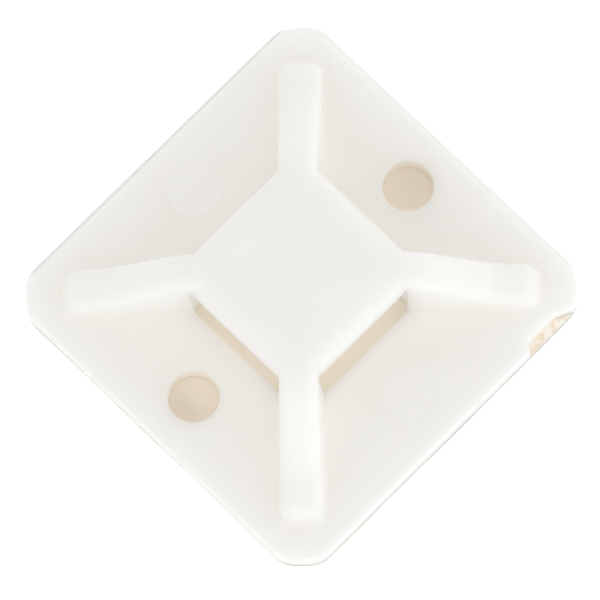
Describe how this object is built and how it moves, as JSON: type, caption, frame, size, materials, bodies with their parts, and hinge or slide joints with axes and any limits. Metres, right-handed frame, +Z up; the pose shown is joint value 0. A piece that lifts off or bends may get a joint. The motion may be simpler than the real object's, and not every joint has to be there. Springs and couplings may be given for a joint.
{
  "type": "cable tie mount",
  "caption": "Square adhesive-backed cable tie mount: a moulded plate with four tapering ribs carrying a raised deck that ties pass under in two directions, with screw holes.",
  "frame": {"origin": "middle of the release liner's lower face, the surface that the mount lies on", "axes": "+Z up out of the plate, X and Y along the plate's sides, the two screw holes on the Y axis, the gate notch on the +X side"},
  "size_m": [0.028, 0.028, 0.0081],
  "materials": {
    "natural_nylon": "satin natural nylon, slightly translucent",
    "adhesive_foam": "tan pressure-sensitive adhesive on thin foam",
    "liner_paper": "smooth release paper"
  },
  "bodies": {
    "root": {"mount_body": "natural_nylon", "foam_pad": "adhesive_foam", "release_liner": "liner_paper"}
  },
  "joints": []
}
